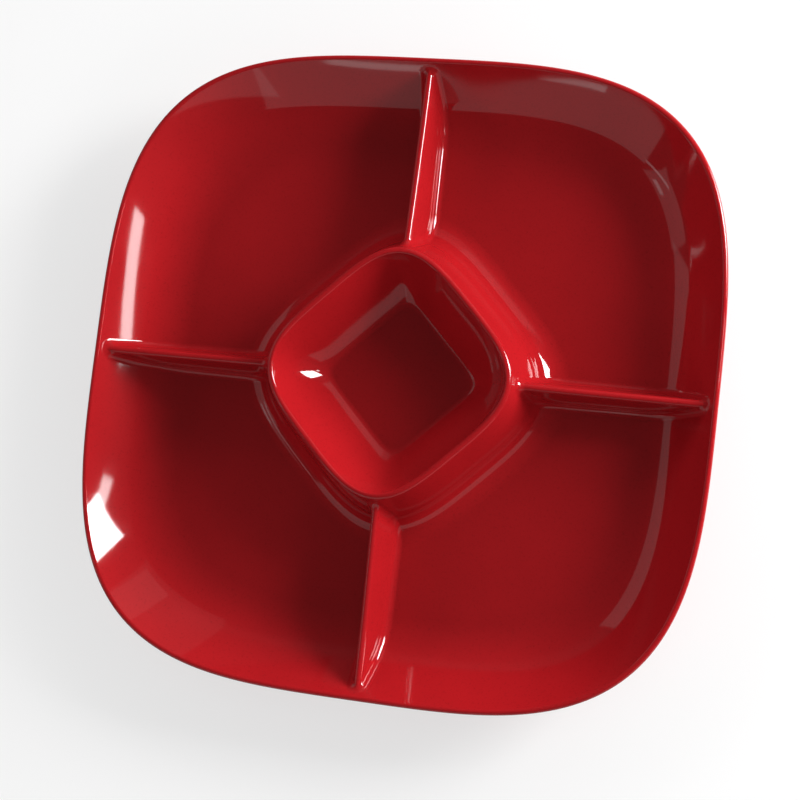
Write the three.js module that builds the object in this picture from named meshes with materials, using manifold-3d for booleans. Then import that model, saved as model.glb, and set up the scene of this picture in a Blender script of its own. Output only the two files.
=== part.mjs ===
// Divided serving dish: a rounded-square moulded dish with four compartments round a raised dip bowl.
// Millimetres, Z up. The origin is on the table under the middle of the dish, and the dividers run
// along X and Y. The real dish is one moulding of even thickness. Here it is parted by fine upright
// seams into its moulded features: four compartments, four hollow dividers, the dip bowl and the foot.

import * as THREE from 'three';
import { mergeVertices } from 'three/addons/utils/BufferGeometryUtils.js';
import Module from 'manifold-3d';

// Dish
const DISH_WIDTH = 345; // across the rim, from one flat side to the other
const DISH_DEPTH = 28; // from the floor up to the top of the rim
const DISH_SQUARENESS = 3.47; // exponent of the rounded-square outline, where 2 is a circle
const WALL = 3.2; // thickness of the moulding
const FLARE_LEAN = 43; // degrees from level, the side where the sweep from the floor turns into the flare
const RIM_LEAN = 50.5; // degrees from level, the side where the flare reaches the rim
const FLARE_SWEEP = 180; // radius of the flare, the slack upper curve of the side

// Foot ring
const FOOT_HEIGHT = 2.5; // from the table up to the underside of the floor
const FOOT_WIDTH = 6; // across the tread
const FOOT_INSET = 3; // from the edge of the flat floor in to the ring

// Dip bowl, turned an eighth of a turn so that its corners face the dividers
const BOWL_WIDTH = 116; // across the rim outside, from one flat side to the other
const BOWL_SQUARENESS = 3.5; // exponent of its outline at the rim
const BASIN_SQUARENESS = 8; // exponent of the outline of its floor
const BOWL_RISE = 9.5; // top of the bowl's rim above the dish's rim
const BOWL_DEPTH = 29; // from the bowl's floor up to the top of its rim
const BOWL_RIM = 4.5; // thickness of the rounded rim
const BASIN_LEAN = 56; // degrees from level, the inside of the bowl below its rim
const BASIN_SWEEP = 10; // radius of the curve from the bowl's floor into its side
const SKIRT_LEAN = 75; // degrees from level, the outside of the bowl
const SKIRT_FILLET = 16; // radius where the outside of the bowl meets the dish floor

// Dividers
const RIDGE_THICKNESS = 4; // across the rounded top
const RIDGE_DROP_AT_BOWL = 7.5; // ridge below the bowl's rim where the two meet
const RIDGE_DROP_AT_WALL = 3.5; // ridge below the dish's rim where it meets the side
const DIVIDER_DRAFT = 8.3; // degrees from upright, each face of a divider
const DIVIDER_FILLET = 4.5; // radius where a divider meets the dish floor
const GROOVE_RADIUS = 0.8; // rounded top of the groove under a divider

// Seams between the moulded features
const SEAM = 0.3; // gap across a seam
const SEAM_MARGIN = 1; // level floor between the foot of a fillet and its seam

// Facets
const DISH_FACETS = 72; // round the dish
const BOWL_FACETS = 40; // round the bowl
const ARC_STEPS = 3; // pairs of chords in each curve of a section
const RIDGE_STEPS = 10; // lengths along a divider

// Finish
const GLOSSY_RED = { color: 0xa3141b, roughness: 0.12, metalness: 0 };

// Levels and half widths that follow from the sizes above
const FLOOR_UNDER = FOOT_HEIGHT;
const FLOOR_TOP = FLOOR_UNDER + WALL;
const DISH_HALF = DISH_WIDTH / 2;
const DISH_RIM_Z = FLOOR_TOP + DISH_DEPTH;
const BOWL_HALF = BOWL_WIDTH / 2;
const BOWL_RIM_Z = DISH_RIM_Z + BOWL_RISE;
const BOWL_FLOOR_Z = BOWL_RIM_Z - BOWL_DEPTH;

// Angles
const EIGHTH = Math.PI / 4;
const QUARTER = Math.PI / 2;
const BELOW = -QUARTER;
const TURN = 2 * Math.PI;

const wasm = await Module();
wasm.setup();

// A closed geometry as a solid that can be joined and cut. Triangles that shrink to a line where a
// turned section meets its axis are dropped.
function solidOf(geometry) {
  const bare = geometry.clone();
  bare.deleteAttribute('normal');
  bare.deleteAttribute('uv');
  const merged = mergeVertices(bare);
  const corners = merged.index.array;
  const triangles = [];
  for (let i = 0; i < corners.length; i += 3) {
    const [a, b, c] = corners.slice(i, i + 3);
    if (a !== b && b !== c && c !== a) triangles.push(a, b, c);
  }
  const mesh = new wasm.Mesh({
    numProp: 3,
    vertProperties: merged.attributes.position.array,
    triVerts: Uint32Array.from(triangles),
  });
  return new wasm.Manifold(mesh);
}

// A finished solid as a geometry for a mesh.
function geometryOf(solid) {
  const { vertProperties, triVerts } = solid.getMesh();
  const geometry = new THREE.BufferGeometry();
  geometry.setAttribute('position', new THREE.BufferAttribute(vertProperties, 3));
  geometry.setIndex(new THREE.BufferAttribute(triVerts, 1));
  geometry.computeVertexNormals();
  return geometry;
}

// How far a rounded square of half width 1 reaches at an angle from the middle of its flat side.
function reach(angle, squareness) {
  const across = Math.abs(Math.cos(angle)) ** squareness;
  const along = Math.abs(Math.sin(angle)) ** squareness;
  return (across + along) ** (-1 / squareness);
}

// Pushes a turned shape out from round to a rounded square. Its squareness may change with half width.
function squareOff(geometry, squarenessAt, turn) {
  const position = geometry.attributes.position;
  for (let i = 0; i < position.count; i += 1) {
    const x = position.getX(i);
    const y = position.getY(i);
    const scale = reach(Math.atan2(y, x) - turn, squarenessAt(Math.hypot(x, y)));
    position.setXY(i, x * scale, y * scale);
  }
  return geometry;
}

// A block between two corners.
function block(from, to) {
  const size = new THREE.Vector3().subVectors(to, from);
  const middle = new THREE.Vector3().addVectors(from, to).divideScalar(2);
  const geometry = new THREE.BoxGeometry(size.x, size.y, size.z);
  return solidOf(geometry.translate(middle.x, middle.y, middle.z));
}

// The round sweep between a level floor and a side that leans over it. The side is given by the
// middle of its rounded rim, that rim's radius and the way its face looks. The sweep leaves the floor
// straight below its centre and joins the side at sideAngle.
function sweepToSide(rim, rimRadius, facing, floor, radius) {
  const onFace = rim.clone().addScaledVector(facing, rimRadius);
  const centreZ = floor + radius;
  const centreX = onFace.x + (radius - facing.y * (centreZ - onFace.y)) / facing.x;
  const sideAngle = Math.atan2(-facing.y, -facing.x);
  return { centre: new THREE.Vector2(centreX, centreZ), radius, sideAngle };
}

// Section of the dish: floor, side and rim. The side sweeps up from the floor and runs on in a slack
// flare to the rim, the two curves touching at flareFoot.
const rimLean = THREE.MathUtils.degToRad(RIM_LEAN);
const flareLean = THREE.MathUtils.degToRad(FLARE_LEAN);
const rimFacing = new THREE.Vector2(-Math.sin(rimLean), Math.cos(rimLean));
const flareFacing = new THREE.Vector2(-Math.sin(flareLean), Math.cos(flareLean));
const dishRim = new THREE.Vector2(DISH_HALF - WALL / 2, DISH_RIM_Z - WALL / 2);
const flareCentre = dishRim.clone().addScaledVector(rimFacing, WALL / 2 + FLARE_SWEEP);
const flareFoot = flareCentre.clone().addScaledVector(flareFacing, -FLARE_SWEEP);
const WALL_SWEEP = (flareFoot.y - FLOOR_TOP) / (1 - flareFacing.y);
const sweepCentre = flareFoot.clone().addScaledVector(flareFacing, WALL_SWEEP);
const RIM_ANGLE = rimLean - QUARTER;
const FLARE_ANGLE = flareLean - QUARTER;
const FLOOR_EDGE = sweepCentre.x;

// Section of the bowl: rim, leaning inside and flared outside
const basinLean = THREE.MathUtils.degToRad(BASIN_LEAN);
const skirtLean = THREE.MathUtils.degToRad(SKIRT_LEAN);
const bowlRim = new THREE.Vector2(BOWL_HALF - BOWL_RIM / 2, BOWL_RIM_Z - BOWL_RIM / 2);
const basinFacing = new THREE.Vector2(-Math.sin(basinLean), Math.cos(basinLean));
const skirtFacing = new THREE.Vector2(Math.sin(skirtLean), Math.cos(skirtLean));
const basinSweep = sweepToSide(bowlRim, BOWL_RIM / 2, basinFacing, BOWL_FLOOR_Z, BASIN_SWEEP);
const skirtSweep = sweepToSide(bowlRim, BOWL_RIM / 2, skirtFacing, FLOOR_TOP, SKIRT_FILLET);
const BOWL_FOOT = skirtSweep.centre.x + SEAM_MARGIN;
const BOWL_CORNER = BOWL_HALF * reach(EIGHTH, BOWL_SQUARENESS);

// A solid turned from a section of half width and height, in the dish's outline.
function turnedDish(points) {
  const round = new THREE.LatheGeometry(points, DISH_FACETS).rotateX(QUARTER);
  return solidOf(squareOff(round, () => DISH_SQUARENESS, 0));
}

// The same in the bowl's outline, which grows rounder from the edge of the bowl's floor up to its rim.
function turnedBowl(points) {
  const round = new THREE.LatheGeometry(points, BOWL_FACETS).rotateX(QUARTER);
  const floorEdge = basinSweep.centre.x;
  const squarenessAt = (half) => {
    const along = THREE.MathUtils.clamp((half - floorEdge) / (bowlRim.x - floorEdge), 0, 1);
    return THREE.MathUtils.lerp(BASIN_SQUARENESS, BOWL_SQUARENESS, along);
  };
  return solidOf(squareOff(round, squarenessAt, EIGHTH));
}

// Shell of the whole dish, floor and side, without the bowl and the dividers.
function dishShell() {
  const section = new THREE.Path();
  section.moveTo(0, FLOOR_UNDER);
  section.lineTo(FLOOR_EDGE, FLOOR_UNDER);
  section.absarc(sweepCentre.x, sweepCentre.y, WALL_SWEEP + WALL, BELOW, FLARE_ANGLE, false);
  section.absarc(flareCentre.x, flareCentre.y, FLARE_SWEEP + WALL, FLARE_ANGLE, RIM_ANGLE, false);
  section.absarc(dishRim.x, dishRim.y, WALL / 2, RIM_ANGLE, RIM_ANGLE + Math.PI, false);
  section.absarc(flareCentre.x, flareCentre.y, FLARE_SWEEP, RIM_ANGLE, FLARE_ANGLE, true);
  section.absarc(sweepCentre.x, sweepCentre.y, WALL_SWEEP, FLARE_ANGLE, BELOW, true);
  section.lineTo(0, FLOOR_TOP);
  return turnedDish(section.getPoints(ARC_STEPS));
}

// Everything inside the dish, down to the middle of its thickness and up past the ridges.
function dishInside() {
  const section = new THREE.Path();
  section.moveTo(0, FLOOR_TOP - WALL / 2);
  section.lineTo(FLOOR_EDGE, FLOOR_TOP - WALL / 2);
  section.absarc(sweepCentre.x, sweepCentre.y, WALL_SWEEP + WALL / 2, BELOW, FLARE_ANGLE, false);
  section.absarc(flareCentre.x, flareCentre.y, FLARE_SWEEP + WALL / 2, FLARE_ANGLE, RIM_ANGLE, false);
  section.lineTo(dishRim.x, BOWL_RIM_Z);
  section.lineTo(0, BOWL_RIM_Z);
  return turnedDish(section.getPoints(ARC_STEPS));
}

// Upright prism of the bowl's outline, taller than the dish.
function bowlPrism(half) {
  const section = [
    new THREE.Vector2(0, 0),
    new THREE.Vector2(half, 0),
    new THREE.Vector2(half, BOWL_RIM_Z),
    new THREE.Vector2(0, BOWL_RIM_Z),
  ];
  return turnedBowl(section);
}

// Height of a divider's ridge at a distance from the middle of the dish. It falls from the bowl in a
// slack curve that levels out at the side.
const RIDGE_AT_BOWL = BOWL_RIM_Z - RIDGE_DROP_AT_BOWL;
const RIDGE_AT_WALL = DISH_RIM_Z - RIDGE_DROP_AT_WALL;

function ridgeHeight(distance) {
  const along = THREE.MathUtils.clamp((distance - BOWL_CORNER) / (DISH_HALF - BOWL_CORNER), 0, 1);
  return RIDGE_AT_WALL + (RIDGE_AT_BOWL - RIDGE_AT_WALL) * (1 - along) ** 2;
}

// Section of a divider at the bowl: rounded ridge, drafted faces and fillets onto the floor
const draft = THREE.MathUtils.degToRad(DIVIDER_DRAFT);
const faceOut = new THREE.Vector2(Math.cos(draft), Math.sin(draft));
const ridgeMiddle = new THREE.Vector2(0, RIDGE_AT_BOWL - RIDGE_THICKNESS / 2);
const dividerFoot = sweepToSide(ridgeMiddle, RIDGE_THICKNESS / 2, faceOut, FLOOR_TOP, DIVIDER_FILLET);
const DIVIDER_HALF = dividerFoot.centre.x + SEAM_MARGIN;

// Stretches a section along +X and lowers its top to follow the ridge.
function alongRidge(shape, from, to) {
  const options = { depth: to - from, steps: RIDGE_STEPS, curveSegments: ARC_STEPS, bevelEnabled: false };
  const geometry = new THREE.ExtrudeGeometry(shape, options);
  geometry.translate(0, 0, from).rotateX(QUARTER).rotateZ(QUARTER);
  const position = geometry.attributes.position;
  for (let i = 0; i < position.count; i += 1) {
    const share = (ridgeHeight(position.getX(i)) - FLOOR_TOP) / (RIDGE_AT_BOWL - FLOOR_TOP);
    const above = Math.max(position.getZ(i) - FLOOR_TOP, 0);
    position.setZ(i, position.getZ(i) - above * (1 - share));
  }
  return geometry;
}

// Solid rib of a divider, from inside the bowl's rim out past the side, with its foot in the floor.
function ribGeometry() {
  const { centre, radius } = dividerFoot;
  const faceAngle = Math.atan2(faceOut.y, faceOut.x);
  const shape = new THREE.Shape();
  shape.moveTo(centre.x, FLOOR_TOP - WALL / 2);
  shape.lineTo(centre.x, FLOOR_TOP);
  shape.absarc(centre.x, centre.y, radius, BELOW, faceAngle - Math.PI, true);
  shape.absarc(0, ridgeMiddle.y, RIDGE_THICKNESS / 2, faceAngle, Math.PI - faceAngle, false);
  shape.absarc(-centre.x, centre.y, radius, -faceAngle, BELOW, true);
  shape.lineTo(-centre.x, FLOOR_TOP - WALL / 2);
  return alongRidge(shape, bowlRim.x, DISH_HALF);
}

// Groove under a divider, with a rounded top. It leaves the divider's faces as thick as the rest of
// the moulding.
function grooveSolid() {
  const faceAngle = Math.atan2(faceOut.y, faceOut.x);
  const middle = ridgeMiddle.y + (RIDGE_THICKNESS / 2 - WALL - GROOVE_RADIUS) / faceOut.y;
  const halfAtFloor = GROOVE_RADIUS / faceOut.x + (middle - FLOOR_UNDER) * Math.tan(draft);
  const shape = new THREE.Shape();
  shape.moveTo(-halfAtFloor, 0);
  shape.lineTo(halfAtFloor, 0);
  shape.lineTo(halfAtFloor, FLOOR_UNDER);
  shape.absarc(0, middle, GROOVE_RADIUS, faceAngle, Math.PI - faceAngle, false);
  shape.lineTo(-halfAtFloor, FLOOR_UNDER);
  return solidOf(alongRidge(shape, bowlRim.x, FLOOR_EDGE));
}

// One divider along +X, with the strip of floor, side and rim that it stands on.
function divider() {
  const half = DIVIDER_HALF - SEAM / 2;
  const strip = block(new THREE.Vector3(0, -half, 0), new THREE.Vector3(DISH_WIDTH, half, BOWL_RIM_Z));
  const rib = solidOf(ribGeometry()).intersect(dishInside());
  const whole = dishShell().intersect(strip).add(rib);
  return geometryOf(whole.subtract(bowlPrism(BOWL_FOOT + SEAM / 2)).subtract(grooveSolid()));
}

// One compartment in the quarter of +X and +Y: its floor, side and rim.
function compartment() {
  const near = DIVIDER_HALF + SEAM / 2;
  const quarter = block(
    new THREE.Vector3(near, near, 0),
    new THREE.Vector3(DISH_WIDTH, DISH_WIDTH, BOWL_RIM_Z),
  );
  return geometryOf(dishShell().intersect(quarter).subtract(bowlPrism(BOWL_FOOT + SEAM / 2)));
}

// Where two lines meet, each given by a point on it and the direction square to it.
function meeting(pointA, squareA, pointB, squareB) {
  const a = pointA.dot(squareA);
  const b = pointB.dot(squareB);
  const spread = squareA.cross(squareB);
  const x = (a * squareB.y - b * squareA.y) / spread;
  const y = (b * squareA.x - a * squareB.x) / spread;
  return new THREE.Vector2(x, y);
}

// Shell of the dip bowl: basin, rounded rim and flared outside, hollow below.
function bowlShell() {
  const foot = BOWL_FOOT - SEAM / 2;
  const basin = basinSweep;
  const skirt = skirtSweep;
  const skirtAngle = skirt.sideAngle + TURN;
  const underFace = BOWL_RIM / 2 - WALL;
  const insideSkirt = bowlRim.clone().addScaledVector(skirtFacing, underFace);
  const outsideBasin = bowlRim.clone().addScaledVector(basinFacing, underFace);
  const hollowTop = meeting(insideSkirt, skirtFacing, outsideBasin, basinFacing);
  const section = new THREE.Path();
  section.moveTo(0, BOWL_FLOOR_Z - WALL);
  section.lineTo(basin.centre.x, BOWL_FLOOR_Z - WALL);
  section.absarc(basin.centre.x, basin.centre.y, basin.radius + WALL, BELOW, basin.sideAngle, false);
  section.lineTo(hollowTop.x, hollowTop.y);
  section.absarc(skirt.centre.x, skirt.centre.y, skirt.radius + WALL, skirtAngle, BELOW + TURN, false);
  section.lineTo(foot, FLOOR_UNDER);
  section.lineTo(foot, FLOOR_TOP);
  section.absarc(skirt.centre.x, skirt.centre.y, skirt.radius, BELOW + TURN, skirtAngle, true);
  section.absarc(bowlRim.x, bowlRim.y, BOWL_RIM / 2, QUARTER - skirtLean, QUARTER + basinLean, false);
  section.absarc(basin.centre.x, basin.centre.y, basin.radius, basin.sideAngle, BELOW, true);
  section.lineTo(0, BOWL_FLOOR_Z);
  return turnedBowl(section.getPoints(ARC_STEPS));
}

// Everything under the bowl's outside, up to the middle of its thickness.
function bowlInside() {
  const { centre, radius, sideAngle } = skirtSweep;
  const middle = bowlRim.clone().addScaledVector(skirtFacing, (BOWL_RIM - WALL) / 2);
  const section = new THREE.Path();
  section.moveTo(0, 0);
  section.lineTo(BOWL_FOOT, 0);
  section.lineTo(BOWL_FOOT, FLOOR_TOP - WALL / 2);
  section.absarc(centre.x, centre.y, radius + WALL / 2, BELOW + TURN, sideAngle + TURN, true);
  section.lineTo(middle.x, middle.y);
  section.lineTo(0, middle.y);
  return turnedBowl(section.getPoints(ARC_STEPS));
}

// The dip bowl with the four shoulders where the dividers run up against it.
function dipBowl() {
  const around = bowlPrism(BOWL_FOOT - SEAM / 2).subtract(bowlInside());
  let bowl = bowlShell();
  for (let side = 0; side < 4; side += 1) {
    const rib = solidOf(ribGeometry().rotateZ(side * QUARTER));
    bowl = bowl.add(rib.intersect(around));
  }
  return geometryOf(bowl);
}

// Ring that the dish stands on, under the flat of the floor.
function footRing() {
  const outside = FLOOR_EDGE - FOOT_INSET;
  const section = [
    new THREE.Vector2(outside - FOOT_WIDTH, 0),
    new THREE.Vector2(outside, 0),
    new THREE.Vector2(outside, FOOT_HEIGHT),
    new THREE.Vector2(outside - FOOT_WIDTH, FOOT_HEIGHT),
    new THREE.Vector2(outside - FOOT_WIDTH, 0),
  ];
  return geometryOf(turnedDish(section));
}

// Assembly
const dish = new THREE.Group();
dish.name = 'divided_serving_dish';

function place(name, geometry, turn) {
  const mesh = new THREE.Mesh(geometry, new THREE.MeshStandardMaterial(GLOSSY_RED));
  mesh.name = name;
  mesh.rotation.z = turn;
  dish.add(mesh);
}

const dividerShape = divider();
['right', 'back', 'left', 'front'].forEach((side, i) => {
  place(`divider_${side}`, dividerShape, i * QUARTER);
});

const compartmentShape = compartment();
['back_right', 'back_left', 'front_left', 'front_right'].forEach((corner, i) => {
  place(`compartment_${corner}`, compartmentShape, i * QUARTER);
});

place('dip_bowl', dipBowl(), 0);
place('foot_ring', footRing(), 0);

export default dish;
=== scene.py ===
"""Divided serving dish in glossy red melamine: four compartments and four dividers round a raised dip bowl.

Sizes are millimetres until a mesh is made. The dish is one moulding, so its pieces meet edge to edge along
their seams, with the same points and the same surface directions on both sides of each seam. Only the foot
ring lies face to face with the underside.
"""

import math

import bpy
import numpy as np
from mathutils import Matrix, Vector


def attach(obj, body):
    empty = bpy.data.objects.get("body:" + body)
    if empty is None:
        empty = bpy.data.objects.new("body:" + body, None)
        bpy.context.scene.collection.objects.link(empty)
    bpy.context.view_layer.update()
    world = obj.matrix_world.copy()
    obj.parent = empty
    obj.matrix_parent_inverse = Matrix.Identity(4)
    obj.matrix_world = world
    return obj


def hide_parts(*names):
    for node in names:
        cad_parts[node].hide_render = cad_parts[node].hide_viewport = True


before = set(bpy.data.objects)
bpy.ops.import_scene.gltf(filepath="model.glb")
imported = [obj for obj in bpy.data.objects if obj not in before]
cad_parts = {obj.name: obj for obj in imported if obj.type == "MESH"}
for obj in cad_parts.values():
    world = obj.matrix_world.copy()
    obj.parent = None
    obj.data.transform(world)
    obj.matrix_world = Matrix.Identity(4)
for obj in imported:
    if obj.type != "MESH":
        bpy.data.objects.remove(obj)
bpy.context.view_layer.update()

# Dish
DISH_HALF = 172.5
DISH_SQUARENESS = 3.47
WALL = 3.2
FLOOR_UNDER = 2.5
FLOOR = FLOOR_UNDER + WALL
DISH_RIM_Z = 33.7
RIM_LEAN = math.radians(50.5)
FLARE_LEAN = math.radians(43)
FLARE_SWEEP = 180.0

# Dip bowl, turned an eighth of a turn
BOWL_HALF = 58.0
BOWL_SQUARENESS = 3.5
BASIN_SQUARENESS = 8.0
BOWL_RIM_Z = 43.2
BOWL_FLOOR_Z = 14.2
BOWL_RIM = 4.5
BASIN_LEAN = math.radians(61)
BASIN_SWEEP = 105.0
BASIN_LOW_LEAN = math.radians(45.5)
BASIN_LOW_SWEEP = 46.0
BASIN_FOOT_LEAN = math.radians(38)
SKIRT_LEAN = math.radians(75)
SKIRT_FILLET = 16.0
HOLLOW_ROUND = 1.5

# Dividers
RIDGE_RADIUS = 2.0
RIDGE_AT_BOWL = 35.7
RIDGE_AT_WALL = 30.2
DRAFT = math.radians(8.3)
FILLET = 4.5
LEAST_FILLET = 0.0045
GROOVE_RADIUS = 0.8
GROOVE_END = 1.0
GROOVE_EASE = 7.0
SEAM_MARGIN = 1.0

# Foot ring
FOOT_INSET = 3.0
FOOT_WIDTH = 6.0
FOOT_ROUND = 1.0

# Fineness of the meshes, and where the columns across half a divider's strip change their spacing
FLOOR_STEPS = 22
CORNER_COLUMNS = 73
FOOT_COLUMNS = 180
RIDGE_TURN = 1.25
RIDGE_COLUMNS = 9
FACE_START, FACE_END = 2.05, 6.6
FACE_COLUMNS = 21
FILLET_START, FILLET_END = 6.9, 10.2
FILLET_COLUMNS = 11

# Solving: rounds of halving and refining, steps for slopes, and the search above and below a section
HALVINGS = 60
OUTLINE_ROUNDS = 14
SLOPE_STEP = 0.01
GROOVE_SLOPE_STEP = 0.02
SEARCH_BELOW = 0.5
SEARCH_ABOVE = 6.0
TINY = 1e-9

MM = 0.001
EIGHTH = math.pi / 4
QUARTER = math.pi / 2

# Which way the surface of an arc looks, and directions in a section and in the dish
AWAY_FROM_CENTRE = 1
TO_CENTRE = -1
INWARD = (-1.0, 0.0)
OUTWARD = (1.0, 0.0)
UP = np.array([0.0, 0.0, 1.0])
DOWN = -UP
LEFT = np.array([-1.0, 0.0, 0.0])
BACK = np.array([0.0, 1.0, 0.0])
FRONT = -BACK


def unit(angle):
    return np.array([math.cos(angle), math.sin(angle)])


def arc(centre, radius, start, end, looks, steps):
    """Points and surface directions of an arc in a section."""
    angles = np.linspace(start, end, steps + 1)
    way = np.stack([np.cos(angles), np.sin(angles)], 1)
    return np.asarray(centre) + radius * way, looks * way


def line(start, end, steps):
    """Points and surface directions of a straight stretch, whose surface looks to the left of its run."""
    start, end = np.asarray(start, float), np.asarray(end, float)
    along = (end - start) / np.linalg.norm(end - start)
    points = start + np.linspace(0, 1, steps + 1)[:, None] * (end - start)
    return points, np.tile([-along[1], along[0]], (steps + 1, 1))


def chain(*stretches):
    """Smoothly joined stretches as one: each starts where the last one ends."""
    points = [stretches[0][0]] + [p[1:] for p, n in stretches[1:]]
    ways = [stretches[0][1]] + [n[1:] for p, n in stretches[1:]]
    return np.concatenate(points), np.concatenate(ways)


def inside_facing(lean):
    """The way that an inner side looks, where its surface leans by an angle from level."""
    return np.array([-math.sin(lean), math.cos(lean)])


def sweep_centre(rim, radius, facing, floor, sweep):
    """Centre of the round sweep from a level floor into a side given by its rim and the way it looks."""
    on_face = rim + facing * radius
    z = floor + sweep
    return np.array([on_face[0] + (sweep - facing[1] * (z - on_face[1])) / facing[0], z])


# Section of the dish
dish_rim = np.array([DISH_HALF - WALL / 2, DISH_RIM_Z - WALL / 2])
flare_facing = inside_facing(FLARE_LEAN)
rim_facing = inside_facing(RIM_LEAN)
side_top = dish_rim + rim_facing * WALL / 2
flare_centre = side_top + rim_facing * FLARE_SWEEP
flare_foot = flare_centre - flare_facing * FLARE_SWEEP
WALL_SWEEP = (flare_foot[1] - FLOOR) / (1 - flare_facing[1])
dish_centre = flare_foot + flare_facing * WALL_SWEEP
FLOOR_EDGE = dish_centre[0]
FOOT_OUTSIDE = FLOOR_EDGE - FOOT_INSET

# Section of the bowl
bowl_rim = np.array([BOWL_HALF - BOWL_RIM / 2, BOWL_RIM_Z - BOWL_RIM / 2])
basin_facing = inside_facing(BASIN_LEAN)
low_facing = inside_facing(BASIN_LOW_LEAN)
foot_facing = inside_facing(BASIN_FOOT_LEAN)
skirt_facing = np.array([math.sin(SKIRT_LEAN), math.cos(SKIRT_LEAN)])
basin_centre = bowl_rim + basin_facing * (BOWL_RIM / 2 + BASIN_SWEEP)
basin_low = basin_centre - low_facing * BASIN_SWEEP
low_centre = basin_low + low_facing * BASIN_LOW_SWEEP
basin_foot = low_centre - foot_facing * BASIN_LOW_SWEEP
FOOT_SWEEP = (basin_foot[1] - BOWL_FLOOR_Z) / (1 - foot_facing[1])
foot_centre = basin_foot + foot_facing * FOOT_SWEEP
skirt_top = bowl_rim + skirt_facing * BOWL_RIM / 2
skirt_centre = sweep_centre(bowl_rim, BOWL_RIM / 2, skirt_facing, FLOOR, SKIRT_FILLET)
skirt_low = skirt_centre - skirt_facing * SKIRT_FILLET
BOWL_FOOT = skirt_centre[0] + SEAM_MARGIN
BOWL_CORNER = BOWL_HALF * 2 ** (0.5 - 1 / BOWL_SQUARENESS)

# Half width of a divider's strip of floor: the foot of its fillet and a little level floor
face_out = np.array([math.cos(DRAFT), math.sin(DRAFT)])
ridge_middle = np.array([0.0, RIDGE_AT_BOWL - RIDGE_RADIUS])
STRIP = sweep_centre(ridge_middle, RIDGE_RADIUS, face_out, FLOOR, FILLET)[0] + SEAM_MARGIN

# Columns of a divider's strip, close together across its steep faces, and of a compartment
half_columns = np.concatenate([
    RIDGE_RADIUS * np.sin(np.linspace(0, RIDGE_TURN, RIDGE_COLUMNS)),
    np.linspace(FACE_START, FACE_END, FACE_COLUMNS),
    np.linspace(FILLET_START, FILLET_END, FILLET_COLUMNS),
    [STRIP],
])
STRIP_Y = np.concatenate([-half_columns[:0:-1], half_columns])
CORNER_STEPS = np.linspace(0, 1, CORNER_COLUMNS)

# Rows of the dish's section: side, rim and outside, from the edge of the floor to the edge of the underside
flare_start = FLARE_LEAN - QUARTER
flare_end = RIM_LEAN - QUARTER
inner_side = chain(
    arc(dish_centre, WALL_SWEEP, -QUARTER, flare_start, TO_CENTRE, steps=40),
    arc(flare_centre, FLARE_SWEEP, flare_start, flare_end, TO_CENTRE, steps=18),
)
side_points, side_ways = chain(
    inner_side,
    arc(dish_rim, WALL / 2, RIM_LEAN + QUARTER, flare_end, AWAY_FROM_CENTRE, steps=14),
    arc(flare_centre, FLARE_SWEEP + WALL, flare_end, flare_start, AWAY_FROM_CENTRE, steps=6),
    arc(dish_centre, WALL_SWEEP + WALL, flare_start, -QUARTER, AWAY_FROM_CENTRE, steps=20),
)
SIDE_TOP_ROWS = len(inner_side[0])


# Outlines


def halved(low, high, is_past):
    """The place between low and high, to a rounding error, from which on is_past holds."""
    for _ in range(HALVINGS):
        middle = (low + high) / 2
        past = is_past(middle)
        high = np.where(past, middle, high)
        low = np.where(past, low, middle)
    return (low + high) / 2


def normalised(v):
    return v / np.maximum(np.linalg.norm(v, axis=-1, keepdims=True), TINY)


def ridge_height(x):
    along = np.clip((x - BOWL_CORNER) / (DISH_HALF - BOWL_CORNER), 0, 1)
    return RIDGE_AT_WALL + (RIDGE_AT_BOWL - RIDGE_AT_WALL) * (1 - along) ** 2


def reach(angle, squareness):
    across = np.abs(np.cos(angle)) ** squareness
    along = np.abs(np.sin(angle)) ** squareness
    return (across + along) ** (-1 / squareness)


def half_width(u, v, squareness):
    """Half width of the rounded square through a point, and its gradient."""
    size = (np.abs(u) ** squareness + np.abs(v) ** squareness) ** (1 / squareness)
    size = np.maximum(size, TINY)
    du = np.sign(u) * (np.abs(u) / size) ** (squareness - 1)
    dv = np.sign(v) * (np.abs(v) / size) ** (squareness - 1)
    return size, du, dv


def in_dish(x, y):
    return half_width(x, y, DISH_SQUARENESS)


def in_bowl(x, y, squareness=BOWL_SQUARENESS):
    c = math.sqrt(0.5)
    size, du, dv = half_width(c * (x + y), c * (y - x), squareness)
    return size, c * (du - dv), c * (du + dv)


def squareness_at(b):
    """The bowl's outline grows rounder from the edge of its floor up to its rim."""
    along = np.clip((b - foot_centre[0]) / (bowl_rim[0] - foot_centre[0]), 0, 1)
    return BASIN_SQUARENESS + (BOWL_SQUARENESS - BASIN_SQUARENESS) * along


def basin_size(x, y):
    size = in_bowl(x, y)[0]
    for _ in range(OUTLINE_ROUNDS):
        size = in_bowl(x, y, squareness_at(size))[0]
    return size


def in_basin(x, y):
    dx = (basin_size(x + SLOPE_STEP, y) - basin_size(x - SLOPE_STEP, y)) / (2 * SLOPE_STEP)
    dy = (basin_size(x, y + SLOPE_STEP) - basin_size(x, y - SLOPE_STEP)) / (2 * SLOPE_STEP)
    return basin_size(x, y), dx, dy


def dish_x(y, a):
    """X of the dish's rounded square of half width a at a small Y."""
    return (a ** DISH_SQUARENESS - np.abs(y) ** DISH_SQUARENESS) ** (1 / DISH_SQUARENESS)


def bowl_x(y, b, squareness=BOWL_SQUARENESS):
    """X of the bowl's turned rounded square of half width b at a small Y."""
    low = np.abs(y) + np.zeros_like(b)
    high = low + 2 * b + 1
    return halved(low, high, lambda x: in_bowl(x, y, squareness)[0] > b)


# The upper surface: distance above it, near a divider that runs along +X


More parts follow.
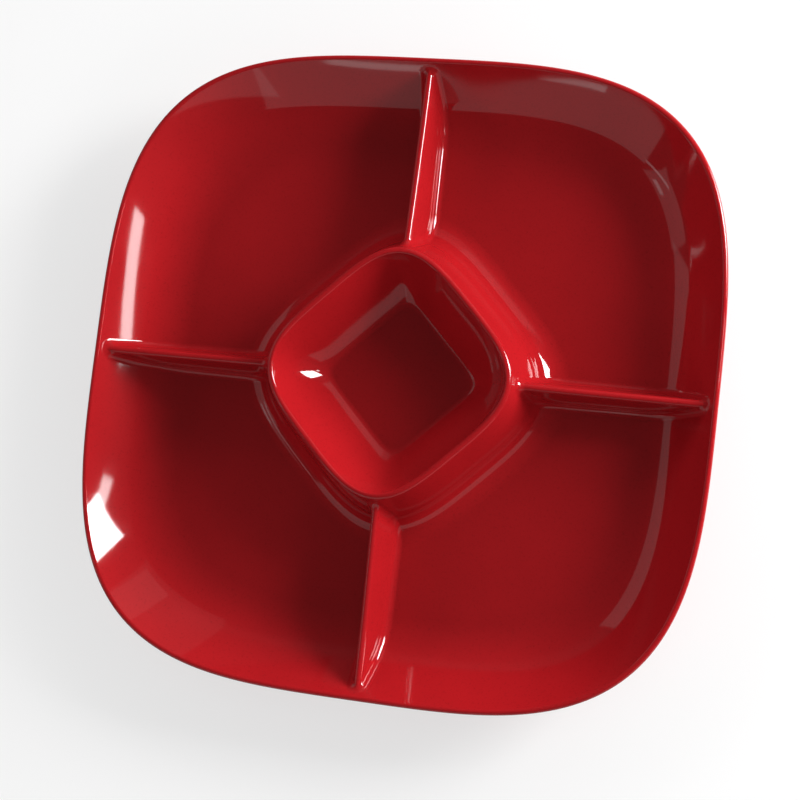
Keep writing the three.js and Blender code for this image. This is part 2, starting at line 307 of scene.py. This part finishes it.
def dish_field(x, y, z):
    a, ax, ay = in_dish(x, y)
    da, dz = a - dish_centre[0], z - dish_centre[1]
    span = np.maximum(np.hypot(da, dz), TINY)
    ra, rz = a - dish_rim[0], z - dish_rim[1]
    rim_span = np.maximum(np.hypot(ra, rz), TINY)
    fa, fz = a - flare_centre[0], z - flare_centre[1]
    flare_span = np.hypot(fa, fz)
    past_flare = ra * rim_facing[1] - rz * rim_facing[0] > 0
    past_sweep = da * flare_facing[1] - dz * flare_facing[0] > 0
    cases = [da <= 0, past_flare, past_sweep]
    distance = np.select(cases, [z - FLOOR, rim_span - WALL / 2, FLARE_SWEEP - flare_span], WALL_SWEEP - span)
    na = np.select(cases, [0 * a, ra / rim_span, -fa / flare_span], -da / span)
    nz = np.select(cases, [0 * a + 1, rz / rim_span, -fz / flare_span], -dz / span)
    return distance, na * ax, na * ay, nz


def skirt_field(x, y, z):
    b, bx, by = in_bowl(x, y)
    db, dz = b - skirt_centre[0], z - skirt_centre[1]
    span = np.maximum(np.hypot(db, dz), TINY)
    up = np.array([-skirt_facing[1], skirt_facing[0]])
    rb, rz = b - bowl_rim[0], z - bowl_rim[1]
    rim_span = np.maximum(np.hypot(rb, rz), TINY)
    on_floor = db >= 0
    past_fillet = (b - skirt_low[0]) * up[0] + (z - skirt_low[1]) * up[1] > 0
    past_face = (b - skirt_top[0]) * up[0] + (z - skirt_top[1]) * up[1] > 0
    flat = (b - skirt_top[0]) * skirt_facing[0] + (z - skirt_top[1]) * skirt_facing[1]
    cases = [on_floor, past_face, past_fillet]
    distance = np.select(cases, [z - FLOOR, rim_span - BOWL_RIM / 2, flat], SKIRT_FILLET - span)
    nb = np.select(cases, [0 * b, rb / rim_span, 0 * b + skirt_facing[0]], -db / span)
    nz = np.select(cases, [0 * b + 1, rz / rim_span, 0 * b + skirt_facing[1]], -dz / span)
    return distance, nb * bx, nb * by, nz


def rib_field(x, y, z):
    side, up = np.abs(y), z - (ridge_height(x) - RIDGE_RADIUS)
    span = np.maximum(np.hypot(side, up), TINY)
    on_top = up * face_out[0] - side * face_out[1] > 0
    distance = np.where(on_top, span, side * face_out[0] + up * face_out[1]) - RIDGE_RADIUS
    ny = np.where(on_top, side / span, face_out[0]) * np.sign(y)
    nz = np.where(on_top, up / span, face_out[1])
    return distance, ny, nz


def top_field(x, y, z):
    """Distance above dish, bowl and divider, rounded between them as by a rolled ball of radius FILLET."""
    inside = in_bowl(x, y)[0] < BOWL_FOOT
    ground = [np.where(inside, s, d) for s, d in zip(skirt_field(x, y, z), dish_field(x, y, z))]
    rib, ny, nz = rib_field(x, y, z)
    length = np.sqrt(ground[1] ** 2 + ground[2] ** 2 + ground[3] ** 2)
    alike = (ground[2] * ny + ground[3] * nz) / np.maximum(length, TINY)
    r = np.maximum(FILLET * (1 - alike), LEAST_FILLET)
    least = np.minimum(ground[0], rib)
    return np.maximum(r, least) - np.hypot(np.maximum(r - ground[0], 0), np.maximum(r - rib, 0))


def top_height(x, y, section_z):
    """Height of the upper surface, looked for from under the plain section up to over the divider's ridge."""
    low = section_z - SEARCH_BELOW + np.zeros_like(x)
    high = np.maximum(section_z, ridge_height(x)) + SEARCH_ABOVE
    return halved(low, high, lambda z: top_field(x, y, z) > 0)


def top_way(x, y, z):
    """Unit normals of the upper surface."""
    gradient = np.stack([
        top_field(x + SLOPE_STEP, y, z) - top_field(x - SLOPE_STEP, y, z),
        top_field(x, y + SLOPE_STEP, z) - top_field(x, y - SLOPE_STEP, z),
        top_field(x, y, z + SLOPE_STEP) - top_field(x, y, z - SLOPE_STEP),
    ], -1)
    return normalised(gradient)


def groove_height(x, y):
    """Underside of a divider's floor, with the groove that hollows the divider out."""
    middle = ridge_height(x) - RIDGE_RADIUS + (RIDGE_RADIUS - WALL - GROOVE_RADIUS) / face_out[1]
    side = np.abs(y)
    turn = GROOVE_RADIUS * face_out[0]
    round_top = middle + np.sqrt(np.maximum(GROOVE_RADIUS ** 2 - side ** 2, 0))
    straight = middle + GROOVE_RADIUS * face_out[1] - (side - turn) / math.tan(DRAFT)
    roof = np.where(side < turn, round_top, straight)
    start = bowl_x(np.zeros_like(y), np.full_like(y, BOWL_FOOT))
    room = np.minimum(x - start - GROOVE_END, FLOOR_EDGE - GROOVE_END - x)
    into = np.clip(room / GROOVE_EASE, 0, 1)
    ease = into * into * (3 - 2 * into)
    return FLOOR_UNDER + np.maximum(roof - FLOOR_UNDER, 0) * ease


def groove_way(x, y):
    """Unit normals of the underside of a divider's floor."""
    step = GROOVE_SLOPE_STEP
    dx = (groove_height(x + step, y) - groove_height(x - step, y)) / (2 * step)
    dy = (groove_height(x, y + step) - groove_height(x, y - step)) / (2 * step)
    return normalised(np.stack([dx, dy, -np.ones_like(dx)], -1))


# Rows of points and of surface directions


def turned(v, k):
    """Points or ways, turned k quarter turns."""
    for _ in range(k):
        v = np.stack([-v[..., 1], v[..., 0], v[..., 2]], -1)
    return v


def all_round(v):
    return np.concatenate([turned(v, k) for k in range(4)])


def level(plan, z):
    return np.concatenate([plan, np.full((len(plan), 1), z)], 1)


def swept_way(plan, way, within):
    """Surface directions along a row swept round a rounded square, from the direction in the section."""
    _, dx, dy = within(plan[:, 0], plan[:, 1])
    return normalised(np.stack([way[0] * dx, way[0] * dy, np.full(len(plan), way[1])], -1))


def at_angle(size, squareness, turn, angle):
    r = size * reach(angle - turn, squareness)
    return np.stack([r * np.cos(angle), r * np.sin(angle)], -1)


def corner_plan(size, squareness, turn, x_at):
    """Plan of the columns of a compartment's corner on one rounded square."""
    start = np.arctan2(STRIP, x_at)
    angle = start + CORNER_STEPS * (QUARTER - 2 * start)
    return at_angle(size, squareness, turn, angle)


def dish_corner(a):
    return corner_plan(a, DISH_SQUARENESS, 0, dish_x(np.array(STRIP), a))


def bowl_corner(b, squareness=BOWL_SQUARENESS):
    return corner_plan(b, squareness, EIGHTH, bowl_x(np.array(STRIP), np.array(b), squareness))


def bowl_strip(b, squareness=BOWL_SQUARENESS):
    """Plan of the columns of a divider's strip on one of the bowl's rounded squares."""
    return np.stack([bowl_x(STRIP_Y, np.full_like(STRIP_Y, b), squareness), STRIP_Y], -1)


def strip_floor():
    """X of the rows over the floor of a divider's strip along +X, at each column."""
    seam = bowl_strip(BOWL_FOOT)[:, 0]
    edge = dish_x(STRIP_Y, FLOOR_EDGE)
    return seam + np.linspace(0, 1, FLOOR_STEPS + 1)[:, None] * (edge - seam)


# Pieces


class Shell:
    """Faces of one piece, with a surface direction at each corner of each face."""

    def __init__(self):
        self.points, self.count, self.faces, self.ways = [], 0, [], []

    def rows(self, rows, ways, closed):
        """Adds rows of points and the bands between them, and gives the numbers of the points in each row."""
        numbers = []
        for row in rows:
            numbers.append(list(range(self.count, self.count + len(row))))
            self.points.append(row)
            self.count += len(row)
        for i in range(len(rows) - 1):
            self.band(numbers[i], numbers[i + 1], ways[i], ways[i + 1], closed)
        return numbers

    def band(self, a, b, way_a, way_b, closed):
        """Quads between two rows of point numbers, with the ways along each row."""
        n = len(a)
        way_a, way_b = way_a.tolist(), way_b.tolist()
        for i in range(n if closed else n - 1):
            j = (i + 1) % n
            self.faces.append((a[i], b[i], b[j], a[j]))
            self.ways += [way_a[i], way_b[i], way_b[j], way_a[j]]

    def cap(self, ring, way):
        self.faces.append(tuple(ring))
        self.ways += [way.tolist()] * len(ring)

    def piece(self, name, node, material):
        mesh = bpy.data.meshes.new(name)
        points = np.concatenate(self.points) * MM
        mesh.from_pydata(points.tolist(), [], self.faces)
        mesh.polygons.foreach_set("use_smooth", np.ones(len(mesh.polygons), bool))
        mesh.normals_split_custom_set(self.ways)
        mesh.materials.append(material)
        mesh.update()
        piece = bpy.data.objects.new(name, mesh)
        bpy.context.scene.collection.objects.link(piece)
        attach(piece, "root")
        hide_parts(node)


def make_quarter(name, k, rows, ways, last_end, material):
    """A divider or a compartment from its rows: turned, and closed at the bowl's seam and at its two ends."""
    shell = Shell()
    turned_rows = [turned(row, k) for row in rows]
    turned_ways = [turned(way, k) for way in ways]
    numbers = shell.rows(turned_rows, turned_ways, closed=False)
    seam = turned(swept_way(rows[0][:, :2], INWARD, in_bowl), k)
    shell.band(numbers[-1], numbers[0], seam, seam, closed=False)
    shell.cap([row[0] for row in numbers[::-1]], turned(FRONT, k))
    shell.cap([row[-1] for row in numbers], turned(last_end, k))
    shell.piece(name, name, material)


def make_divider(name, k, material):
    """Ridge and fillets over floor and side, then the plain rim and outside, then the grooved underside."""
    floor_x = strip_floor()
    side_x = np.stack([dish_x(STRIP_Y, a) for a in side_points[:, 0]])
    top_x = np.concatenate([floor_x, side_x[1:SIDE_TOP_ROWS]])
    section_z = np.concatenate([np.full(len(floor_x), FLOOR), side_points[1:SIDE_TOP_ROWS, 1]])
    top_y = np.tile(STRIP_Y, (len(top_x), 1))
    top_z = top_height(top_x, top_y, section_z[:, None])
    rows = list(np.stack([top_x, top_y, top_z], -1))
    ways = list(top_way(top_x, top_y, top_z))
    for i in range(SIDE_TOP_ROWS, len(side_x)):
        plan = np.stack([side_x[i], STRIP_Y], -1)
        rows.append(level(plan, side_points[i, 1]))
        ways.append(swept_way(plan, side_ways[i], in_dish))
    for x in floor_x[-2::-1]:
        rows.append(np.stack([x, STRIP_Y, groove_height(x, STRIP_Y)], -1))
        ways.append(groove_way(x, STRIP_Y))
    make_quarter(name, k, rows, ways, BACK, material)


def make_compartment(name, k, material):
    """Floor, side, rim and outside of the corner between two dividers."""
    seam = bowl_corner(BOWL_FOOT)
    rows = [level(seam, FLOOR)]
    ways = [np.tile(UP, (len(seam), 1))]
    for point, way in zip(side_points, side_ways):
        plan = dish_corner(point[0])
        rows.append(level(plan, point[1]))
        ways.append(swept_way(plan, way, in_dish))
    rows.append(level(seam, FLOOR_UNDER))
    ways.append(np.tile(DOWN, (len(seam), 1)))
    make_quarter(name, k, rows, ways, LEFT, material)


def bowl_sections():
    """Section of the bowl in three smooth parts: basin and rim, outside down to the foot, and underside."""
    basin_side = BASIN_LEAN - QUARTER
    low_side = BASIN_LOW_LEAN - QUARTER
    foot_side = BASIN_FOOT_LEAN - QUARTER
    skirt_side = math.pi + QUARTER - SKIRT_LEAN
    basin = chain(
        arc(foot_centre, FOOT_SWEEP, -QUARTER, foot_side, TO_CENTRE, steps=14),
        arc(low_centre, BASIN_LOW_SWEEP, foot_side, low_side, TO_CENTRE, steps=8),
        arc(basin_centre, BASIN_SWEEP, low_side, basin_side, TO_CENTRE, steps=12),
        arc(bowl_rim, BOWL_RIM / 2, basin_side + math.pi, QUARTER - SKIRT_LEAN, AWAY_FROM_CENTRE, steps=22),
    )
    outside = chain(
        line(skirt_top, skirt_low, steps=30),
        arc(skirt_centre, SKIRT_FILLET, skirt_side, 3 * QUARTER, TO_CENTRE, steps=26),
        line((skirt_centre[0], FLOOR), (BOWL_FOOT, FLOOR), steps=1),
    )

    # The hollow under the rim ends in a round that touches the skirt's inside and the basin's outside
    inside_offset = (skirt_top - skirt_facing * WALL) @ skirt_facing - HOLLOW_ROUND

    def hollow_centre(angle):
        return basin_centre + (BASIN_SWEEP + WALL + HOLLOW_ROUND) * unit(angle)

    def is_past(angle):
        return hollow_centre(angle) @ skirt_facing >= inside_offset

    hollow_side = halved(low_side, basin_side, is_past)
    hollow = hollow_centre(hollow_side)
    skirt_inside = skirt_centre - skirt_facing * (SKIRT_FILLET + WALL)
    underside = chain(
        line((BOWL_FOOT, FLOOR_UNDER), (skirt_centre[0], FLOOR_UNDER), steps=1),
        arc(skirt_centre, SKIRT_FILLET + WALL, 3 * QUARTER, skirt_side, AWAY_FROM_CENTRE, steps=12),
        line(skirt_inside, hollow + skirt_facing * HOLLOW_ROUND, steps=6),
        arc(hollow, HOLLOW_ROUND, QUARTER - SKIRT_LEAN, math.pi + hollow_side, TO_CENTRE, steps=8),
        arc(basin_centre, BASIN_SWEEP + WALL, hollow_side, low_side, AWAY_FROM_CENTRE, steps=8),
        arc(low_centre, BASIN_LOW_SWEEP + WALL, low_side, foot_side, AWAY_FROM_CENTRE, steps=4),
        arc(foot_centre, FOOT_SWEEP + WALL, foot_side, -QUARTER, AWAY_FROM_CENTRE, steps=8),
    )
    return basin, outside, underside


def bowl_row(point, way, meets_dividers):
    """One row right round the bowl, four strips and four corners, and its surface directions."""
    b, z = point
    squareness = squareness_at(b)
    plan = bowl_strip(b, squareness)
    if meets_dividers:
        x, y = plan[:, 0], plan[:, 1]
        top_z = top_height(x, y, z)
        strip = np.stack([x, y, top_z], -1)
        strip_way = top_way(x, y, top_z)
    else:
        strip = level(plan, z)
        strip_way = swept_way(plan, way, in_basin)
    corner_here = bowl_corner(b, squareness)
    corner = level(corner_here, z)[1:-1]
    corner_way = swept_way(corner_here, way, in_basin)[1:-1]
    return all_round(np.concatenate([strip, corner])), all_round(np.concatenate([strip_way, corner_way]))


def make_bowl(material):
    """Basin, rim and outside with the shoulders of the four dividers, and the hollow underneath."""
    shell = Shell()
    basin, outside, underside = bowl_sections()
    rim_end = len(basin[0]) - 1
    above = [bowl_row(point, way, i >= rim_end) for i, (point, way) in enumerate(zip(*chain(basin, outside)))]
    below = [bowl_row(point, way, False) for point, way in zip(*underside)]
    top = shell.rows(*zip(*above), closed=True)
    under = shell.rows(*zip(*below), closed=True)
    seam_plan = np.concatenate([bowl_strip(BOWL_FOOT), bowl_corner(BOWL_FOOT)[1:-1]])
    seam = all_round(swept_way(seam_plan, OUTWARD, in_bowl))
    shell.band(top[-1], under[0], seam, seam, closed=True)
    shell.cap(top[0], UP)
    shell.cap(under[-1][::-1], DOWN)
    shell.piece("dip_bowl", "dip_bowl", material)


def make_foot(material):
    """Ring under the floor, from its outer wall over the rounded tread to its inner wall."""
    shell = Shell()
    inside = FOOT_OUTSIDE - FOOT_WIDTH
    r = FOOT_ROUND
    outline = chain(
        line((FOOT_OUTSIDE, FLOOR_UNDER), (FOOT_OUTSIDE, r), steps=1),
        arc((FOOT_OUTSIDE - r, r), r, 0, -QUARTER, AWAY_FROM_CENTRE, steps=6),
        line((FOOT_OUTSIDE - r, 0), (inside + r, 0), steps=1),
        arc((inside + r, r), r, 3 * QUARTER, math.pi, AWAY_FROM_CENTRE, steps=6),
        line((inside, r), (inside, FLOOR_UNDER), steps=1),
    )
    angle = np.linspace(0, 2 * math.pi, FOOT_COLUMNS, endpoint=False)
    rows, ways = [], []
    for point, way in zip(*outline):
        plan = at_angle(point[0], DISH_SQUARENESS, 0, angle)
        rows.append(level(plan, point[1]))
        ways.append(swept_way(plan, way, in_dish))
    numbers = shell.rows(rows, ways, closed=True)
    top = np.tile(UP, (len(angle), 1))
    shell.band(numbers[-1], numbers[0], top, top, closed=True)
    shell.piece("foot_ring", "foot_ring", material)


# Finish: deep red melamine with a fine speckle, glossy
CLEAR_RED = (0.33, 0.0076, 0.0104, 1)
SPECKLE_RED = (0.27, 0.0062, 0.0085, 1)
SPECKLE_SCALE = 900.0
CLOUD_SCALE = 45.0
CLOUD_SHARE = 0.12
SMOOTHEST, ROUGHEST = 0.04, 0.07
MELAMINE_IOR = 1.52


def melamine():
    material = bpy.data.materials.new("red_melamine")
    material.use_nodes = True
    tree = material.node_tree
    shader = tree.nodes["Principled BSDF"]
    place = tree.nodes.new("ShaderNodeTexCoord")
    speckle = tree.nodes.new("ShaderNodeTexNoise")
    speckle.inputs["Scale"].default_value = SPECKLE_SCALE
    speckle.inputs["Detail"].default_value = 2.0
    cloud = tree.nodes.new("ShaderNodeTexNoise")
    cloud.inputs["Scale"].default_value = CLOUD_SCALE
    cloud.inputs["Detail"].default_value = 3.0
    tone = tree.nodes.new("ShaderNodeValToRGB")
    tone.color_ramp.elements[0].position = 0.28
    tone.color_ramp.elements[0].color = SPECKLE_RED
    tone.color_ramp.elements[1].position = 0.46
    tone.color_ramp.elements[1].color = CLEAR_RED
    drift = tree.nodes.new("ShaderNodeMix")
    drift.data_type = "RGBA"
    drift.blend_type = "MULTIPLY"
    drift.inputs["Factor"].default_value = CLOUD_SHARE
    sheen = tree.nodes.new("ShaderNodeMapRange")
    sheen.inputs["To Min"].default_value = SMOOTHEST
    sheen.inputs["To Max"].default_value = ROUGHEST
    swell = tree.nodes.new("ShaderNodeBump")
    swell.inputs["Strength"].default_value = 0.02
    swell.inputs["Distance"].default_value = 0.0005
    tree.links.new(place.outputs["Object"], speckle.inputs["Vector"])
    tree.links.new(place.outputs["Object"], cloud.inputs["Vector"])
    tree.links.new(speckle.outputs["Fac"], tone.inputs["Fac"])
    tree.links.new(tone.outputs["Color"], drift.inputs["A"])
    tree.links.new(cloud.outputs["Fac"], drift.inputs["B"])
    tree.links.new(drift.outputs["Result"], shader.inputs["Base Color"])
    tree.links.new(cloud.outputs["Fac"], sheen.inputs["Value"])
    tree.links.new(sheen.outputs["Result"], shader.inputs["Roughness"])
    tree.links.new(cloud.outputs["Fac"], swell.inputs["Height"])
    tree.links.new(swell.outputs["Normal"], shader.inputs["Normal"])
    shader.inputs["IOR"].default_value = MELAMINE_IOR
    return material


red = melamine()
for turn, side in enumerate(["right", "back", "left", "front"]):
    make_divider("divider_" + side, turn, red)
for turn, corner in enumerate(["back_right", "back_left", "front_left", "front_right"]):
    make_compartment("compartment_" + corner, turn, red)
make_bowl(red)
make_foot(red)

# Floor, in metres
STAGE_RADIUS = 1.2
STAGE_SIDES = 128
STAGE_GREY = (0.9, 0.9, 0.9, 1)
STAGE_WHITE = 0.6
WHITE = (1, 1, 1, 1)


def pale_floor():
    """Matt and pale, with some white added for the camera alone, so that the dish's shadow stays faint."""
    material = bpy.data.materials.new("pale_floor")
    material.use_nodes = True
    tree = material.node_tree
    matt = tree.nodes["Principled BSDF"]
    matt.inputs["Base Color"].default_value = STAGE_GREY
    matt.inputs["Roughness"].default_value = 0.9
    matt.inputs["Specular IOR Level"].default_value = 0.1
    rays = tree.nodes.new("ShaderNodeLightPath")
    share = tree.nodes.new("ShaderNodeMath")
    share.operation = "MULTIPLY"
    share.inputs[1].default_value = STAGE_WHITE
    white = tree.nodes.new("ShaderNodeEmission")
    white.inputs["Color"].default_value = WHITE
    blend = tree.nodes.new("ShaderNodeMixShader")
    tree.links.new(rays.outputs["Is Camera Ray"], share.inputs[0])
    tree.links.new(share.outputs["Value"], blend.inputs["Fac"])
    tree.links.new(matt.outputs["BSDF"], blend.inputs[1])
    tree.links.new(white.outputs["Emission"], blend.inputs[2])
    tree.links.new(blend.outputs["Shader"], tree.nodes["Material Output"].inputs["Surface"])
    return material


def make_floor():
    mesh = bpy.data.meshes.new("floor")
    turns = np.linspace(0, 2 * math.pi, STAGE_SIDES, endpoint=False)
    edge = [(STAGE_RADIUS * math.cos(a), STAGE_RADIUS * math.sin(a), 0) for a in turns]
    mesh.from_pydata(edge, [], [list(range(len(edge)))])
    mesh.materials.append(pale_floor())
    floor = bpy.data.objects.new("floor", mesh)
    bpy.context.scene.collection.objects.link(floor)


make_floor()

# Light, in metres
TARGET = Vector((0, 0, 0.03))


def soft_light(name, azimuth, elevation, distance, across, upright, radiance, roll=0.0):
    """A panel that faces the dish. Its place, size and roll are angles in degrees, seen from the dish."""
    data = bpy.data.lights.new(name, "AREA")
    data.shape = "RECTANGLE"
    data.size = 2 * distance * math.tan(math.radians(across / 2))
    data.size_y = 2 * distance * math.tan(math.radians(upright / 2))
    data.energy = radiance * math.pi * data.size * data.size_y
    lamp = bpy.data.objects.new(name, data)
    az, el = math.radians(azimuth), math.radians(elevation)
    way = Vector((math.cos(el) * math.cos(az), math.cos(el) * math.sin(az), math.sin(el)))
    lamp.location = TARGET + way * distance
    turn = way.to_track_quat("Z", "Y").to_matrix() @ Matrix.Rotation(math.radians(roll), 3, "Z")
    lamp.rotation_euler = turn.to_euler()
    lamp.visible_camera = False
    bpy.context.scene.collection.objects.link(lamp)


soft_light("key", 28.5, 15.5, 1.5, across=18.5, upright=26, radiance=36, roll=28)
soft_light("lamp", 10.3, 30.2, 0.4, across=7.5, upright=4.4, radiance=13, roll=-20)
soft_light("front_panel_right", 295, 14, 1.3, across=58, upright=28, radiance=0.42)
soft_light("front_panel_left", 240, 18, 1.3, across=52, upright=36, radiance=0.42)
soft_light("front_strip", 246, 7, 1.2, across=12, upright=2.5, radiance=1.5)
soft_light("left_panel", 192, 27, 1.3, across=24, upright=28, radiance=0.35)
soft_light("left_bar", 197, 35, 1.2, across=6, upright=5, radiance=1.2)
soft_light("left_rail", 203, 24, 1.2, across=3, upright=16, radiance=1.2, roll=-60)
soft_light("back_left_panel", 163, 24, 1.3, across=26, upright=28, radiance=0.4)
soft_light("back_panel", 76, 22, 1.3, across=44, upright=44, radiance=0.13)
soft_light("back_window", 64, 22, 1.25, across=18, upright=26, radiance=0.22)

# Room: its ring of light is given by height, from 0 at the horizon to 1 overhead
MIRRORED_GREY = (0.05, 0.05, 0.05, 1)
RING_START, RING_FULL = 0.24, 0.28
RING_ABOVE = [(0.48, 1.0), (0.54, 0.0), (0.8, 0.0), (0.9, 0.14)]
BRIGHT_SIDE = (0.46, 0.89, 0)
FAR_STRENGTH, NEAR_STRENGTH = 0.9, 3.75


def make_room():
    """White to the camera, nearly dark in the gloss, and otherwise a ring of light, strongest on one side."""
    world = bpy.data.worlds.new("studio")
    bpy.context.scene.world = world
    world.use_nodes = True
    nodes, links = world.node_tree.nodes, world.node_tree.links
    nodes.clear()
    rays = nodes.new("ShaderNodeLightPath")
    seen = nodes.new("ShaderNodeBackground")
    seen.inputs["Color"].default_value = WHITE
    mirrored = nodes.new("ShaderNodeBackground")
    mirrored.inputs["Color"].default_value = MIRRORED_GREY
    place = nodes.new("ShaderNodeTexCoord")
    height = nodes.new("ShaderNodeSeparateXYZ")
    ring = nodes.new("ShaderNodeValToRGB")
    ring.color_ramp.elements[0].position = RING_START
    ring.color_ramp.elements[1].position = RING_FULL
    for position, value in RING_ABOVE:
        ring.color_ramp.elements.new(position).color = (value, value, value, 1)
    side = nodes.new("ShaderNodeVectorMath")
    side.operation = "DOT_PRODUCT"
    side.inputs[1].default_value = BRIGHT_SIDE
    amount = nodes.new("ShaderNodeMapRange")
    amount.inputs["From Min"].default_value = -1
    amount.inputs["To Min"].default_value = FAR_STRENGTH
    amount.inputs["To Max"].default_value = NEAR_STRENGTH
    room = nodes.new("ShaderNodeBackground")
    links.new(place.outputs["Generated"], height.inputs["Vector"])
    links.new(height.outputs["Z"], ring.inputs["Fac"])
    links.new(place.outputs["Generated"], side.inputs[0])
    links.new(side.outputs["Value"], amount.inputs["Value"])
    links.new(ring.outputs["Color"], room.inputs["Color"])
    links.new(amount.outputs["Result"], room.inputs["Strength"])
    shine = nodes.new("ShaderNodeMixShader")
    choose = nodes.new("ShaderNodeMixShader")
    out = nodes.new("ShaderNodeOutputWorld")
    links.new(rays.outputs["Is Glossy Ray"], shine.inputs["Fac"])
    links.new(room.outputs["Background"], shine.inputs[1])
    links.new(mirrored.outputs["Background"], shine.inputs[2])
    links.new(rays.outputs["Is Camera Ray"], choose.inputs["Fac"])
    links.new(shine.outputs["Shader"], choose.inputs[1])
    links.new(seen.outputs["Background"], choose.inputs[2])
    links.new(choose.outputs["Shader"], out.inputs["Surface"])


make_room()

# Camera at the photograph's angle: angles in radians, distance in metres, places in the picture in pixels
CAMERA_TILT = 0.29355
CAMERA_AZIMUTH = -0.30194
CAMERA_ROLL = 0.1183
CAMERA_DISTANCE = 0.98854
PICTURE_SIZE = 800
FOCAL_PIXELS = 1864.2
CENTRE_X, CENTRE_Y = 391.36, 374.35
SENSOR_WIDTH = 36.0


def make_camera():
    lean = math.sin(CAMERA_TILT)
    back = np.array([lean * math.cos(CAMERA_AZIMUTH), lean * math.sin(CAMERA_AZIMUTH), math.cos(CAMERA_TILT)])
    right = np.cross([0, 1, 0], back)
    right /= np.linalg.norm(right)
    up = np.cross(back, right)
    across = math.cos(CAMERA_ROLL) * right + math.sin(CAMERA_ROLL) * up
    upward = -math.sin(CAMERA_ROLL) * right + math.cos(CAMERA_ROLL) * up
    eye = np.array([0, 0, DISH_RIM_Z * MM]) + back * CAMERA_DISTANCE
    data = bpy.data.cameras.new("camera")
    data.sensor_width = SENSOR_WIDTH
    data.lens = FOCAL_PIXELS / PICTURE_SIZE * SENSOR_WIDTH
    data.shift_x = (PICTURE_SIZE / 2 - CENTRE_X) / PICTURE_SIZE
    data.shift_y = (CENTRE_Y - PICTURE_SIZE / 2) / PICTURE_SIZE
    data.clip_start = 0.05
    camera = bpy.data.objects.new("camera", data)
    pose = Matrix.Identity(4)
    for i, axis in enumerate([across, upward, back, eye]):
        for j in range(3):
            pose[j][i] = axis[j]
    camera.matrix_world = pose
    bpy.context.scene.collection.objects.link(camera)
    bpy.context.scene.camera = camera


make_camera()
bpy.context.scene.view_settings.view_transform = "Standard"
